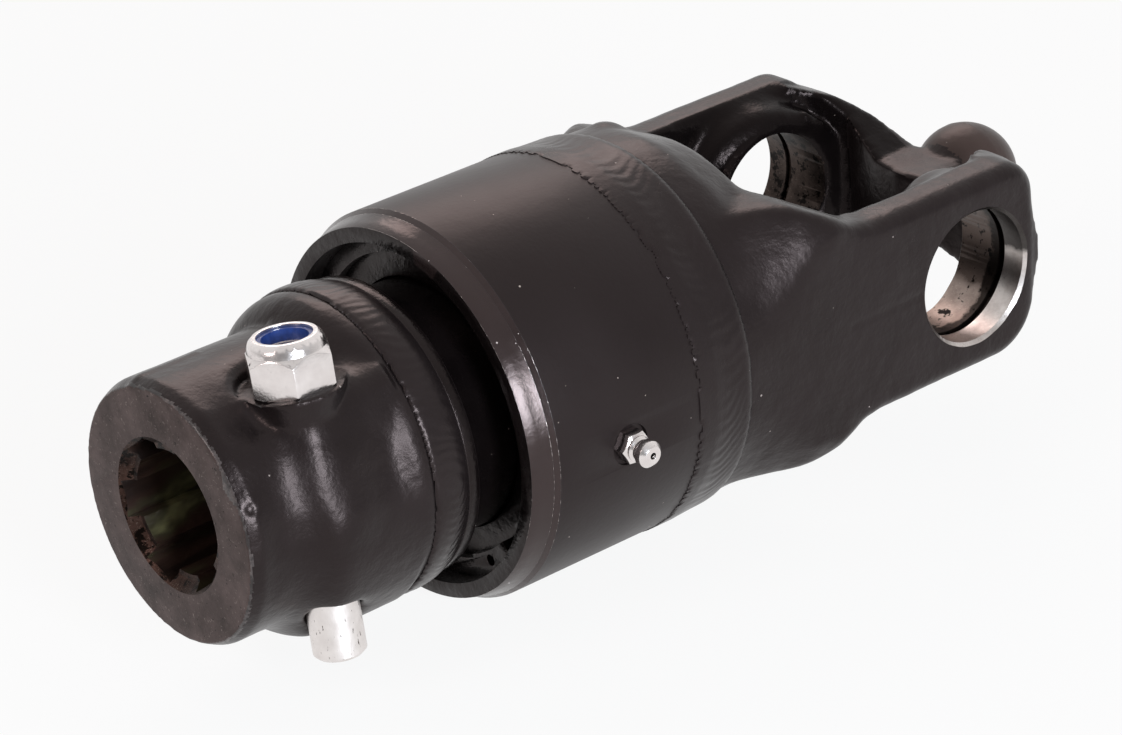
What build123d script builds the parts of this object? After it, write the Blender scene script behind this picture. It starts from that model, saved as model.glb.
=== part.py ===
from build123d import *

import math
import os

# Overrunning coupling for a farm drive shaft. A splined clamp hub drives a pawl
# carrier inside a turned housing. The housing is welded to a forged yoke that
# carries one half of a wide-angle joint. Millimetres. +X runs along the shaft
# from the hub towards the ball, the cross bore runs along Y, +Z is up. The
# origin is the joint centre, where the shaft axis meets the cross bore's axis.

# Forged yoke, measured from the joint centre
joint_to_shoulder = 74.7
shoulder_length = 11.0
shoulder_step = 1.5
neck_length = 11.0
neck_radius = 40.0
throat_length = 14.0
throat_radius = 30.0
ear_outer = 45.2
arm_thickness = 10.5
boss_thickness = 21.6
boss_radius = 22.5
boss_face_slope = 9.0
ear_half_height = 24.5
root_half_height = 34.0
root_reach = 52.0
root_flare_radius = 51.0
waist_reach = 34.0
root_inner = 15.0
ear_end_reach = 22.0
ear_end_draft = 1.4
ear_top_round = 9.0
ear_bottom_round = 14.0
root_round = 12.0
waist_round = 20.0
forged_round = 4.0
window_corner = 22.0
cross_radius = 16.5
cross_chamfer = 0.8
snap_groove_inset = 6.8
snap_groove_width = 1.9
snap_groove_depth = 0.9
ball_reach = 42.0
ball_radius = 12.9
bridge_half_height = 8.0
bridge_inner_reach = 18.3
bridge_outer_reach = 33.5
lump_reach = 63.5
lump_radius = 7.0
lump_depth = 6.0
lump_angle = 71.0

# Turned housing, closed behind by the yoke's spigot
housing_length = 51.6
housing_radius = 47.0
weld_gap = 12.0
front_land_step = 2.4
front_cone_length = 6.4
housing_wall = 6.0
ring_inset = 5.6
ring_groove_depth = 2.0
rear_bevel = 3.0
land_wall = 15.8
pocket_depth = 4.0
pocket_count = 12
pocket_band_gap = 1.5
rear_counterbore_depth = 4.0

# Pieces that close the mouth
ring_thickness = 2.5
ring_inner_radius = 36.9
ring_gap_angle = 12.0
ring_gap_place = -140.0
lug_angle = 22.0
lug_inner_radius = 36.0
plier_hole_radius = 1.3
plier_hole_place = 12.0
washer_thickness = 3.0
seal_thickness = 3.2
bush_wall = 4.0
bush_length = 9.0
weld_crown = 0.2

# Pawl carrier
flange_radius = 35.7
flange_thickness = 3.0
mouth_gap = 7.4
barrel_land_gap = 1.2
shaft_clearance_radius = 18.5
shaft_room_depth = 26.0
journal_radius = 15.0
journal_length = 13.0
thrust_thickness = 2.0
rear_bush_wall = 3.0
pawl_count = 4
pawl_width = 8.0
pawl_end_wall = 2.6
pawl_height = 14.6
pawl_bevel = 3.0
ramp_length = 4.9
pawl_rest_gap = 0.5
slot_floor_radius = 12.6
spring_seat_depth = 4.0
spring_seat_radius = 3.0
spring_coil_radius = 2.2
spring_wire_radius = 0.45
spring_turns = 5

# Splined clamp hub
hub_length = 52.0
hub_radius = 31.3
hub_nose_radius = 29.9
hub_nose_length = 3.0
collar_radius = 36.4
collar_length = 15.0
hub_bevel = 6.0
weld_root_radius = 30.0
weld_root_gap = 4.0
swell_radius = 33.4
swell_shift = 4.0
swell_angle = -117.0
swell_start = 11.0
swell_waist = 16.5
swell_full = 27.0
swell_end = 44.0
pad_corner_radius = 7.0
pad_corner_offset = 24.0
collar_shoulder = 5.0
spline_major_radius = 17.5
spline_minor_radius = 14.8
spline_count = 6
spline_key_width = 8.7
mouth_bevel_radius = 18.4
mouth_bevel_depth = 1.4
hub_turn = -7.1

# Taper-pin clamp bolt and its lock nut
bolt_station = 24.3
bolt_offset = 21.2
bolt_radius = 6.1
thread_radius = 5.9
bolt_head_reach = 37.2
nut_seat = 26.2
nut_across_flats = 18.0
nut_hex_height = 9.2
nut_collar_height = 3.0
nut_collar_radius = 8.5
nut_room_radius = 12.8
nut_lip_radius = 6.3
nut_lip_height = 0.7
insert_radius = 6.9
insert_bore_radius = 5.3
insert_height = 2.8
bolt_tip_gap = 0.2
bolt_bevel = 0.8

# Grease nipple
nipple_station = 26.9
nipple_angle = 182.0
nipple_thread_radius = 3.0
nipple_thread_length = 6.0
nipple_across_flats = 7.0
nipple_hex_height = 3.6
nipple_seat_radius = 5.0
nipple_seat_depth = 1.2
nipple_neck_radius = 2.5
nipple_head_radius = 3.2
nipple_height = 8.8
nipple_passage_radius = 1.5
nipple_mouth_radius = 0.8
nipple_ball_radius = 1.1

# Fits
running_gap = 0.05
seat_gap = 0.02
side_gap = 0.1
part_gap = 0.3

# Radii that follow from the housing's
shoulder_radius = housing_radius - shoulder_step
front_land_radius = housing_radius - front_land_step
front_wall_radius = housing_radius - housing_wall
rear_counterbore_radius = housing_radius - housing_wall
land_radius = housing_radius - land_wall
barrel_radius = land_radius - barrel_land_gap

# Stations along X that follow from the sizes above
shoulder_x = -joint_to_shoulder
neck_x = shoulder_x + shoulder_length
window_x = neck_x + neck_length
throat_x = window_x + throat_length
housing_rear_x = shoulder_x - weld_gap
housing_front_x = housing_rear_x - housing_length
spigot_x = housing_rear_x - rear_counterbore_depth
ring_x = housing_front_x + ring_inset
washer_x = ring_x + ring_thickness + seat_gap
washer_back_x = washer_x + washer_thickness
seal_back_x = washer_back_x + seal_thickness
bush_back_x = seal_back_x + bush_length
pocket_x = bush_back_x + pocket_band_gap
flange_x = housing_front_x - mouth_gap - flange_thickness
flange_back_x = flange_x + flange_thickness
barrel_end_x = spigot_x - thrust_thickness - 2 * side_gap
hub_back_x = flange_x - weld_root_gap
hub_x = hub_back_x - hub_length
pawl_x = pocket_x + 1.0
pawl_length = barrel_end_x - pawl_end_wall - pawl_x
arm_inner = ear_outer - arm_thickness
boss_inner = ear_outer - boss_thickness
pocket_radius = land_radius + pocket_depth
pawl_tip_radius = pocket_radius - pawl_rest_gap
pawl_foot_radius = pawl_tip_radius - pawl_height
bush_radius = barrel_radius + running_gap + bush_wall


def turned(outline):
    """Solid of revolution about X from (x, radius) corners."""
    face = make_face(Polyline(*outline, close=True))
    return revolve(face, Axis.X, 360)


def tube(x_start, x_end, outer, inner):
    """Plain ring between two stations."""
    return turned([(x_start, inner), (x_end, inner), (x_end, outer), (x_start, outer)])


def round_bar(x_start, x_end, radius):
    """Plain round bar along X."""
    return turned([(x_start, 0), (x_end, 0), (x_end, radius), (x_start, radius)])


def spun(shape, angle):
    """Turn a shape about the shaft axis."""
    return Rot(angle, 0, 0) * shape


def side_plate(outline, y_low, y_high):
    """Plate cut to an (x, z) outline between two Y planes."""
    face = Plane.XZ * make_face(Polyline(*outline, close=True))
    return Pos(0, y_high, 0) * extrude(face, amount=y_high - y_low)


def along_radius(shape, angle):
    """Carry a shape modelled up +Z to the place where +Z points at an angle from +Y."""
    return Rot(angle - 90, 0, 0) * shape


def hexagon_prism(across_flats, height):
    """Hexagonal bar standing on the XY plane."""
    return extrude(RegularPolygon(across_flats / 2, 6, major_radius=False), amount=height)


def nut_to_seat(shape):
    """Stand a shape modelled on the XY plane upright on the bolt's line."""
    return Pos(hub_x + bolt_station, -bolt_offset, 0) * shape


def upright_bar(z_low, z_high, radius):
    """Round bar along Z."""
    return Pos(0, 0, z_low) * extrude(Circle(radius), amount=z_high - z_low)


def turned_up(outline):
    """Solid of revolution about Z from (radius, z) corners."""
    face = Plane.XZ * make_face(Polyline(*outline, close=True))
    return revolve(face, Axis.Z, 360)


def coil_spring(z_low, z_high, coil_radius, wire_radius, turns):
    """Helical spring standing along Z between two planes."""
    rise = z_high - z_low - 2 * (wire_radius + seat_gap)
    helix = Helix(pitch=rise / turns, height=rise, radius=coil_radius)
    section = Plane(origin=helix @ 0, z_dir=helix % 0) * Circle(wire_radius)
    return Pos(0, 0, z_low + wire_radius + seat_gap) * sweep(section, path=helix)


# Splined clamp hub

def spline_cut():
    """Bore with straight-sided grooves for the six-tooth shaft."""
    length = hub_length + 2
    bore = round_bar(hub_x - 1, hub_x - 1 + length, spline_minor_radius)
    groove_ring = round_bar(hub_x - 1, hub_x - 1 + length, spline_major_radius)
    for index in range(spline_count):
        bar = Pos(hub_x - 1 + length / 2, spline_major_radius / 2, 0) * Box(
            length, spline_major_radius, spline_key_width
        )
        bore += spun(bar, index * 360 / spline_count) & groove_ring
    return bore


def hub_core():
    """Turned nose and barrel of the hub, with the rounded collar behind."""
    collar_x = hub_back_x - collar_length
    bevel_x = hub_back_x - hub_bevel
    nose = Polyline(
        (collar_x, hub_radius),
        (hub_x + hub_nose_length, hub_radius),
        (hub_x, hub_nose_radius),
        (hub_x, 0),
        (hub_back_x, 0),
        (hub_back_x, weld_root_radius),
        (bevel_x, collar_radius),
    )
    middle = (collar_x + collar_shoulder / 2, (hub_radius + collar_radius) / 2 + 0.7)
    shoulder = ThreePointArc((bevel_x, collar_radius), middle, (collar_x, hub_radius))
    return revolve(make_face(nose + shoulder), Axis.X, 360)


def hub_swell():
    """Thick side of the hub round the bolt, faded out towards the nose."""
    slope = math.radians(swell_angle)
    centre = Pos(swell_shift * math.cos(slope), swell_shift * math.sin(slope))
    corner = Pos(-pad_corner_offset, nut_seat - pad_corner_radius)
    outline = make_hull((centre * Circle(swell_radius)).edges() + (corner * Circle(pad_corner_radius)).edges())
    swell = extrude(Plane.YZ * outline, amount=swell_end - swell_start)
    full_radius = pad_corner_offset + 2 * pad_corner_radius + swell_shift
    envelope = turned([
        (0, 0),
        (0, hub_radius - 0.5),
        (swell_waist - swell_start, hub_radius + 1.2),
        (swell_full - swell_start, full_radius),
        (swell_end - swell_start, full_radius),
        (swell_end - swell_start, 0),
    ])
    return Pos(hub_x + swell_start, 0, 0) * (swell & envelope)


def splined_hub():
    """Forged clamp hub with its bore, its bolt hole and the flat seat for the nut."""
    body = hub_core() + hub_swell()
    body -= nut_to_seat(upright_bar(nut_seat, 2 * hub_radius, nut_room_radius))
    body -= nut_to_seat(upright_bar(-2 * hub_radius, 2 * hub_radius, bolt_radius + side_gap))
    body -= spline_cut()
    body -= turned([
        (hub_x, 0),
        (hub_x, mouth_bevel_radius),
        (hub_x + mouth_bevel_depth, spline_major_radius),
        (hub_x + mouth_bevel_depth, 0),
    ])
    return spun(body, hub_turn)


def hub_weld():
    """Fillet bead that joins the hub's collar to the carrier's flange."""
    toe = (hub_back_x - hub_bevel, collar_radius)
    crown = (hub_back_x - 1, collar_radius + 0.9)
    foot = (flange_x, flange_radius - 0.6)
    edges = ThreePointArc(toe, crown, foot)
    edges += Polyline(foot, (flange_x, weld_root_radius), (hub_back_x, weld_root_radius), toe)
    return revolve(make_face(edges), Axis.X, 360)


def clamp_bolt():
    """Plain pin with a threaded end, driven through beside the shaft."""
    tip = nut_seat + nut_hex_height + nut_collar_height - nut_lip_height - insert_height - bolt_tip_gap
    shank_top = nut_seat - bolt_radius
    bolt = turned_up([
        (0, -bolt_head_reach),
        (bolt_radius - bolt_bevel, -bolt_head_reach),
        (bolt_radius, -bolt_head_reach + bolt_bevel),
        (bolt_radius, shank_top),
        (thread_radius, shank_top + 1),
        (thread_radius, tip - 1),
        (thread_radius - 1, tip),
        (0, tip),
    ])
    return spun(nut_to_seat(bolt), hub_turn)


def lock_nut():
    """Hexagon nut with a round collar that holds the locking insert."""
    hex_top = nut_seat + nut_hex_height
    top = hex_top + nut_collar_height
    lip = top - nut_lip_height
    corner = nut_across_flats / math.sqrt(3)
    body = Pos(0, 0, nut_seat) * hexagon_prism(nut_across_flats, nut_hex_height)
    crown = turned_up([
        (0, nut_seat - 1),
        (corner - 0.9, nut_seat),
        (corner + 0.4, nut_seat + 1.2),
        (corner + 0.4, hex_top - 2.2),
        (corner - 1.6, hex_top),
        (0, hex_top),
    ])
    body = body & crown
    body += turned_up([
        (0, hex_top - 1),
        (nut_collar_radius + 0.4, hex_top - 1),
        (nut_collar_radius + 0.2, hex_top + 0.8),
        (nut_collar_radius - 0.3, top - 0.9),
        (nut_collar_radius - 1.2, top),
        (0, top),
    ])
    body -= upright_bar(nut_seat - 1, top + 1, thread_radius + seat_gap)
    body -= upright_bar(lip - insert_height, lip, insert_radius)
    body -= upright_bar(lip, top + 1, nut_lip_radius)
    return spun(nut_to_seat(body), hub_turn)


def nut_insert():
    """Nylon ring held under the nut's lip."""
    lip = nut_seat + nut_hex_height + nut_collar_height - nut_lip_height
    ring = upright_bar(lip - insert_height + seat_gap, lip - seat_gap, insert_radius - seat_gap)
    ring -= upright_bar(lip - insert_height - 1, lip + 1, insert_bore_radius)
    return spun(nut_to_seat(ring), hub_turn)


# Pawl carrier and what it carries

def pawl_carrier():
    """Turned barrel with a thrown flange, pawl slots and a rear journal."""
    room_end_x = hub_back_x + shaft_room_depth
    journal_end_x = barrel_end_x + journal_length
    body = turned([
        (hub_back_x, shaft_clearance_radius),
        (hub_back_x, weld_root_radius),
        (flange_x, weld_root_radius),
        (flange_x, flange_radius),
        (flange_back_x, flange_radius),
        (flange_back_x, barrel_radius),
        (barrel_end_x, barrel_radius),
        (barrel_end_x, journal_radius),
        (journal_end_x - 1, journal_radius),
        (journal_end_x, journal_radius - 1),
        (journal_end_x, 0),
        (room_end_x, 0),
        (room_end_x, shaft_clearance_radius),
    ])
    slot_width = pawl_width + 2 * running_gap
    slot_length = pawl_length + 2 * running_gap
    slot_height = barrel_radius
    slot = Pos(pawl_x + pawl_length / 2, 0, slot_floor_radius + slot_height / 2) * Box(
        slot_length, slot_width, slot_height
    )
    for index in range(pawl_count):
        body -= along_radius(slot, pawl_angle(index))
    return body


def pawl_angle(index):
    """Direction of one pawl, from +Y."""
    return 90 + index * 360 / pawl_count


def drive_pawl(index):
    """Sliding pawl, bevelled on the side that rides over the pockets."""
    half = pawl_width / 2
    outline = [
        (half, pawl_foot_radius),
        (half, pawl_tip_radius),
        (-half + pawl_bevel, pawl_tip_radius),
        (-half, pawl_tip_radius - pawl_bevel),
        (-half, pawl_foot_radius),
    ]
    face = Plane.YZ * make_face(Polyline(*outline, close=True))
    pawl = Pos(pawl_x, 0, 0) * extrude(face, amount=pawl_length)
    seat = upright_bar(pawl_foot_radius - 1, pawl_foot_radius + spring_seat_depth, spring_seat_radius)
    pawl -= Pos(pawl_x + pawl_length / 2, 0, 0) * seat
    return along_radius(pawl, pawl_angle(index))


def pawl_spring(index):
    """Spring under one pawl, from the slot floor into the pawl's seat."""
    seat = pawl_foot_radius + spring_seat_depth
    spring = coil_spring(slot_floor_radius, seat, spring_coil_radius, spring_wire_radius, spring_turns)
    return along_radius(Pos(pawl_x + pawl_length / 2, 0, 0) * spring, pawl_angle(index))


# Housing and what closes it

def clutch_housing():
    """Turned housing with a bevelled front, a ring groove and ratchet pockets."""
    body = turned([
        (housing_front_x, front_wall_radius),
        (housing_front_x, front_land_radius),
        (housing_front_x + front_cone_length - 1.2, housing_radius - 0.9),
        (housing_front_x + front_cone_length, housing_radius),
        (housing_rear_x - rear_bevel, housing_radius),
        (housing_rear_x, housing_radius - rear_bevel),
        (housing_rear_x, rear_counterbore_radius),
        (spigot_x, rear_counterbore_radius),
        (spigot_x, land_radius),
        (bush_back_x, land_radius),
        (bush_back_x, bush_radius + seat_gap),
        (washer_back_x, bush_radius + seat_gap),
        (washer_back_x, front_wall_radius),
        (washer_x, front_wall_radius),
        (washer_x, front_wall_radius + ring_groove_depth),
        (ring_x - seat_gap, front_wall_radius + ring_groove_depth),
        (ring_x - seat_gap, front_wall_radius),
    ])
    half = pawl_width / 2 + side_gap
    outline = [
        (half, barrel_radius),
        (half, pocket_radius),
        (-half, pocket_radius),
        (-half - ramp_length, barrel_radius + running_gap),
        (-half - ramp_length, barrel_radius - 1),
        (half, barrel_radius - 1),
    ]
    face = Plane.YZ * make_face(Polyline(*outline, close=True))
    pocket = Pos(pocket_x, 0, 0) * extrude(face, amount=spigot_x - pocket_x + 1)
    for index in range(pocket_count):
        body -= along_radius(pocket, pawl_angle(0) + index * 360 / pocket_count)
    nipple_foot = housing_radius - nipple_seat_depth
    hole = upright_bar(nipple_foot - nipple_thread_length - 0.5, housing_radius + 1, nipple_thread_radius + seat_gap)
    hole += upright_bar(land_radius - 1, housing_radius - 1, nipple_passage_radius)
    hole += upright_bar(nipple_foot, housing_radius + 1, nipple_seat_radius)
    body -= at_nipple(hole)
    return body


def at_nipple(shape):
    """Carry a shape modelled up +Z to the grease nipple's place."""
    return along_radius(Pos(housing_front_x + nipple_station, 0, 0) * shape, nipple_angle)


def retaining_ring():
    """Flat internal ring with two lugs beside its gap."""
    outer = front_wall_radius + ring_groove_depth - side_gap
    x_end = ring_x + ring_thickness
    ring = tube(ring_x, x_end, outer, ring_inner_radius)
    lug_ring = tube(ring_x, x_end, ring_inner_radius + 0.5, lug_inner_radius)
    half_gap = ring_gap_angle / 2
    for side in (-1, 1):
        start = half_gap if side > 0 else -half_gap - lug_angle
        ring += lug_ring & wedge(ring_gap_place + start, lug_angle)
    ring -= wedge(ring_gap_place - half_gap, ring_gap_angle)
    hole_radius = (lug_inner_radius + front_wall_radius) / 2 - 0.2
    for side in (-1, 1):
        place = ring_gap_place + side * (half_gap + plier_hole_place)
        hole = Rot(0, 90, 0) * Cylinder(plier_hole_radius, 4 * ring_thickness)
        ring -= along_radius(Pos(ring_x, 0, hole_radius) * hole, place)
    return ring


def wedge(start_angle, sweep_angle):
    """Thick sector about the shaft axis at the retaining ring."""
    reach = 2 * housing_radius
    corners = [(0.0, 0.0)]
    for angle in (start_angle, start_angle + sweep_angle / 2, start_angle + sweep_angle):
        slope = math.radians(angle)
        corners.append((reach * math.cos(slope), reach * math.sin(slope)))
    face = Plane.YZ * make_face(Polyline(*corners, close=True))
    return Pos(ring_x - 5, 0, 0) * extrude(face, amount=10 + ring_thickness)


def cover_washer():
    """Steel washer that closes the mouth behind the retaining ring."""
    return tube(washer_x, washer_back_x, front_wall_radius - running_gap, barrel_radius + part_gap)


def shaft_seal():
    """Rubber seal that wipes the barrel."""
    return tube(washer_back_x, seal_back_x, bush_radius, barrel_radius + running_gap)


def front_bush():
    """Bronze bush that carries the barrel."""
    return tube(seal_back_x, bush_back_x, bush_radius, barrel_radius + running_gap)


def rear_bush():
    """Bronze bush in the yoke's blind bore."""
    inner = journal_radius + running_gap
    return tube(spigot_x, barrel_end_x + journal_length, inner + rear_bush_wall, inner)


def thrust_washer():
    """Washer between the barrel's end and the yoke."""
    x_start = barrel_end_x + side_gap
    return tube(x_start, x_start + thrust_thickness, barrel_radius - 1, journal_radius + side_gap)


def yoke_weld():
    """Bead that joins the housing to the yoke's shoulder."""
    toe = (housing_rear_x - rear_bevel, housing_radius)
    crown = (housing_rear_x + weld_gap / 3, housing_radius + weld_crown)
    foot = (shoulder_x, shoulder_radius + 0.5)
    edges = ThreePointArc(toe, crown, foot)
    edges += Polyline(
        foot,
        (shoulder_x, rear_counterbore_radius),
        (housing_rear_x, rear_counterbore_radius),
        (housing_rear_x, housing_radius - rear_bevel),
        toe,
    )
    return revolve(make_face(edges), Axis.X, 360)


# Grease nipple

def grease_nipple():
    """Nipple with a hexagon, a necked head and a through passage."""
    foot = housing_radius - nipple_seat_depth
    top = foot + nipple_height
    hex_top = foot + nipple_hex_height
    bevel = nipple_across_flats / math.sqrt(3)
    hexagon = Pos(0, 0, foot) * hexagon_prism(nipple_across_flats, nipple_hex_height)
    hexagon = hexagon & turned_up([
        (0, foot),
        (bevel + 0.2, foot),
        (bevel + 0.2, hex_top - 0.7),
        (bevel - 0.8, hex_top),
        (0, hex_top),
    ])
    head = turned_up([
        (0, foot - nipple_thread_length),
        (nipple_thread_radius - 0.6, foot - nipple_thread_length),
        (nipple_thread_radius, foot - nipple_thread_length + 0.6),
        (nipple_thread_radius, foot + 0.5),
        (nipple_neck_radius + 0.6, hex_top + 0.5),
        (nipple_neck_radius, hex_top + 1.1),
        (nipple_neck_radius, top - 3.4),
        (nipple_head_radius, top - 2.7),
        (nipple_head_radius, top - 1.1),
        (nipple_head_radius - 1.0, top),
        (0, top),
    ])
    body = hexagon + head
    seat = top - 0.8
    body -= upright_bar(foot - nipple_thread_length - 1, seat - 0.7, nipple_passage_radius)
    body -= turned_up([
        (0, seat - 0.8),
        (nipple_passage_radius, seat - 0.8),
        (nipple_passage_radius, seat - 0.7),
        (nipple_mouth_radius, seat),
        (nipple_mouth_radius, top + 1),
        (0, top + 1),
    ])
    return at_nipple(body)


def nipple_ball_height():
    """Height of the check ball's centre above the shaft axis."""
    return housing_radius - nipple_seat_depth + nipple_height - 2.1


def nipple_ball():
    """Check ball just under the nipple's mouth."""
    return at_nipple(Pos(0, 0, nipple_ball_height()) * Sphere(nipple_ball_radius))


def nipple_spring():
    """Spring that holds the check ball up."""
    foot = housing_radius - nipple_seat_depth
    low = foot - 2
    high = nipple_ball_height() - nipple_ball_radius
    return at_nipple(coil_spring(low, high, 1.0, 0.15, 6))


# Forged yoke

def yoke_base():
    """Turned spigot and shoulder, and the forged neck that grows into the ears."""
    bush_bore = journal_radius + running_gap + rear_bush_wall + seat_gap
    bore_end_x = barrel_end_x + journal_length + 1
    return turned([
        (spigot_x, bush_bore),
        (spigot_x, rear_counterbore_radius - seat_gap),
        (shoulder_x, rear_counterbore_radius - seat_gap),
        (shoulder_x, shoulder_radius),
        (neck_x - 1.5, shoulder_radius),
        (neck_x, shoulder_radius - 0.8),
        (window_x, neck_radius),
        (throat_x, throat_radius),
        (throat_x, 0),
        (bore_end_x, 0),
        (bore_end_x, bush_bore),
    ])


def ear_plate(side):
    """One ear with its thick root, cut back where it grows out of the shoulder."""
    root_start = shoulder_x + 3
    end_top = ear_end_reach - ear_end_draft
    upper = [
        (root_start, root_half_height),
        (-root_reach, root_half_height),
        (-waist_reach, ear_half_height),
        (end_top, ear_half_height),
    ]
    outline = upper + [(ear_end_reach, 3)] + [(x, -z) for x, z in reversed(upper)]
    y_low = root_inner if side > 0 else -ear_outer
    plate = side_plate(outline, y_low, y_low + ear_outer - root_inner)
    for reach, level, radius in (
        (-root_reach, 1, root_round),
        (-root_reach, -1, root_round),
        (-waist_reach, 1, waist_round),
        (-waist_reach, -1, waist_round),
        (end_top, 1, ear_top_round),
        (end_top, -1, ear_bottom_round),
    ):
        corner = plate.edges().filter_by(Axis.Y).filter_by(
            lambda edge: abs(edge.center().X - reach) < 0.5 and edge.center().Z * level > 5
        )
        plate = fillet(corner, radius)
    rim = plate.faces().sort_by(Axis.Y)[-1 if side > 0 else 0].edges()
    plate = fillet(rim.filter_by(lambda edge: edge.center().X > root_start + 1), forged_round)
    flare = turned([
        (root_start, 0),
        (root_start, shoulder_radius),
        (root_start + 5, shoulder_radius + 0.6),
        (-root_reach - 6, shoulder_radius + 3),
        (-root_reach, root_flare_radius),
        (-waist_reach, root_flare_radius + 3),
        (2 * ear_end_reach, ear_outer + 12),
        (2 * ear_end_reach, 0),
    ])
    return plate & flare


def ear_boss(side):
    """Round boss inside one ear that lengthens the cross bore."""
    y_low = boss_inner - 4
    boss = Rot(90, 0, 0) * Cylinder(boss_radius, ear_outer - 1 - y_low)
    boss = Pos(0, (ear_outer - 1 + y_low) / 2, 0) * boss
    slope = math.tan(math.radians(boss_face_slope))
    reach = 2 * boss_radius
    corners = [
        (-reach, boss_inner + (cross_radius + reach) * slope),
        (reach, boss_inner + (cross_radius - reach) * slope),
        (reach, 0),
        (-reach, 0),
    ]
    slant = extrude(make_face(Polyline(*corners, close=True)), amount=2 * reach)
    boss -= Pos(0, 0, -reach) * slant
    return boss if side > 0 else mirror(boss, about=Plane.XZ)


def bridge():
    """Arch that joins the ears' ends and carries the centring ball."""
    half_top = [
        (bridge_outer_reach, 0.0),
        (bridge_outer_reach - 0.3, 8.0),
        (bridge_outer_reach - 1.0, 15.0),
        (bridge_outer_reach - 3.0, 22.0),
        (bridge_outer_reach - 7.0, arm_inner - 5.7),
        (ear_end_reach + 0.6, arm_inner - 0.2),
        (ear_end_reach - 2.5, arm_inner + 5.0),
        (-1.0, arm_inner + 5.0),
        (-1.0, arm_inner - 0.5),
        (8.0, arm_inner - 1.2),
        (ear_end_reach - 5.5, arm_inner - 5.7),
        (ear_end_reach + 0.3, 21.5),
        (21.3, 16.0),
        (19.6, 8.8),
        (bridge_inner_reach, 0.0),
    ]
    outline = half_top + [(x, -y) for x, y in reversed(half_top[1:-1])]
    face = make_face(Polyline(*outline, close=True))
    arch = Pos(0, 0, -ear_half_height) * extrude(face, amount=2 * ear_half_height)
    top = ear_half_height - 0.4
    half_front = [
        (ear_outer, top),
        (29.0, top),
        (21.8, bridge_half_height + 8.3),
        (16.2, bridge_half_height + 4.3),
        (8.8, bridge_half_height + 0.4),
        (0.0, bridge_half_height),
    ]
    front = half_front + [(-y, z) for y, z in reversed(half_front[:-1])]
    front += [(y, -z) for y, z in reversed(front)]
    face = Plane.YZ * make_face(Polyline(*front, close=True))
    arch = arch & (Pos(-5, 0, 0) * extrude(face, amount=bridge_outer_reach + 10))
    half_side = [
        (-5.0, top),
        (12.0, top),
        (19.0, 21.5),
        (22.4, 20.2),
        (26.8, 16.8),
        (30.2, 13.6),
        (32.7, bridge_half_height + 0.5),
        (bridge_outer_reach + 0.5, bridge_half_height - 1.5),
    ]
    side = half_side + [(x, -z) for x, z in reversed(half_side)]
    return arch & side_plate(side, -ear_outer, ear_outer)


def yoke_window():
    """Space between the ears, rounded at its two rear corners."""
    window = Pos((window_x + ear_end_reach) / 2, 0, 0) * Box(
        ear_end_reach - window_x, 2 * arm_inner, 4 * shoulder_radius
    )
    rear = window.edges().filter_by(Axis.Z).group_by(Axis.X)[0]
    window = fillet(rear, window_corner)
    return window + Pos(ear_end_reach, 0, 0) * Box(10, 2 * arm_inner, 4 * shoulder_radius)


def cross_bore():
    """Bore through both ears with its ring grooves and bevelled mouths."""
    bore = Rot(90, 0, 0) * Cylinder(cross_radius, 3 * ear_outer)
    groove_middle = ear_outer - snap_groove_inset - snap_groove_width / 2
    for side in (-1, 1):
        groove = Rot(90, 0, 0) * Cylinder(cross_radius + snap_groove_depth, snap_groove_width)
        bore += Pos(0, side * groove_middle, 0) * groove
        cone = Cone(cross_radius, cross_radius + 2 * cross_chamfer, 2 * cross_chamfer)
        bore += Pos(0, side * ear_outer, 0) * (Rot(-90 * side, 0, 0) * cone)
    return bore


def joint_yoke():
    """The whole forging: base, ears, bosses, bridge and centring ball."""
    body = yoke_base() + ear_plate(-1) + ear_plate(1)
    body -= yoke_window()
    body += ear_boss(-1) + ear_boss(1) + bridge()
    body += round_bar(bridge_outer_reach - 6, ball_reach, bridge_half_height - 1)
    body += Pos(ball_reach, 0, 0) * Sphere(ball_radius)
    lump = Pos(-lump_reach, 0, shoulder_radius - lump_depth) * Sphere(lump_radius)
    body += along_radius(lump, lump_angle)
    return body - cross_bore()


def all_nodes():
    """Every piece by name."""
    nodes = {
        "splined_hub": splined_hub(),
        "hub_weld": hub_weld(),
        "clamp_bolt": clamp_bolt(),
        "lock_nut": lock_nut(),
        "nut_insert": nut_insert(),
        "pawl_carrier": pawl_carrier(),
        "clutch_housing": clutch_housing(),
        "retaining_ring": retaining_ring(),
        "cover_washer": cover_washer(),
        "shaft_seal": shaft_seal(),
        "front_bush": front_bush(),
        "rear_bush": rear_bush(),
        "thrust_washer": thrust_washer(),
        "yoke_weld": yoke_weld(),
        "joint_yoke": joint_yoke(),
        "grease_nipple": grease_nipple(),
        "nipple_ball": nipple_ball(),
        "nipple_spring": nipple_spring(),
    }
    for index in range(pawl_count):
        nodes[f"drive_pawl_{index + 1}"] = drive_pawl(index)
        nodes[f"pawl_spring_{index + 1}"] = pawl_spring(index)
    return nodes


os.makedirs("parts", exist_ok=True)
for name, shape in all_nodes().items():
    export_step(shape, f"parts/{name}.step")
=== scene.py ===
import math

import bpy
from mathutils import Matrix, Vector, noise


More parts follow.
